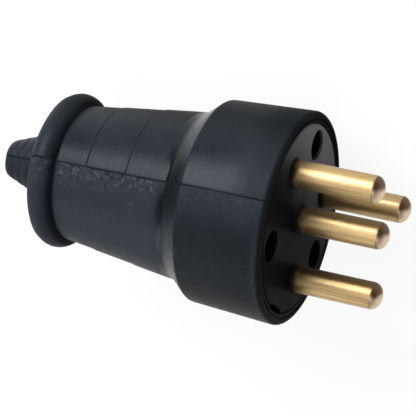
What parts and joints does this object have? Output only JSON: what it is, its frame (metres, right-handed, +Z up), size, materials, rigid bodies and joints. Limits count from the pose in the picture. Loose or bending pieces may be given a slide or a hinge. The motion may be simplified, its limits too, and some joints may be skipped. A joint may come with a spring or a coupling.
{
  "type": "three-phase power plug",
  "caption": "Round rubber power plug with brass pins in a keyed layout, a stepped tapering grip, a round collar and a ringed cable boot.",
  "frame": {"origin": "on the floor, under the middle of the plug's bounding box, with the plug lying on the side of its head", "axes": "+X along the plug towards the pins, tipped down from the pins' own axis by the head's draft, +Z up"},
  "size_m": [0.1066, 0.0548, 0.0547],
  "materials": {
    "rubber": "satin moulded rubber",
    "carrier": "matt moulded plastic",
    "block": "matt moulded plastic",
    "brass": "turned and polished",
    "steel": "plated"
  },
  "bodies": {
    "root": {"rubber_body": "rubber", "contact_carrier": "carrier", "terminal_block": "block", "phase_pin_1": "brass", "phase_pin_2": "brass", "phase_pin_3": "brass", "earth_pin": "brass", "terminal_screws": "steel", "carrier_screws": "steel", "carrier_nuts": "steel", "cord_clamp": "steel", "cord_clamp_screws": "steel"}
  },
  "joints": []
}
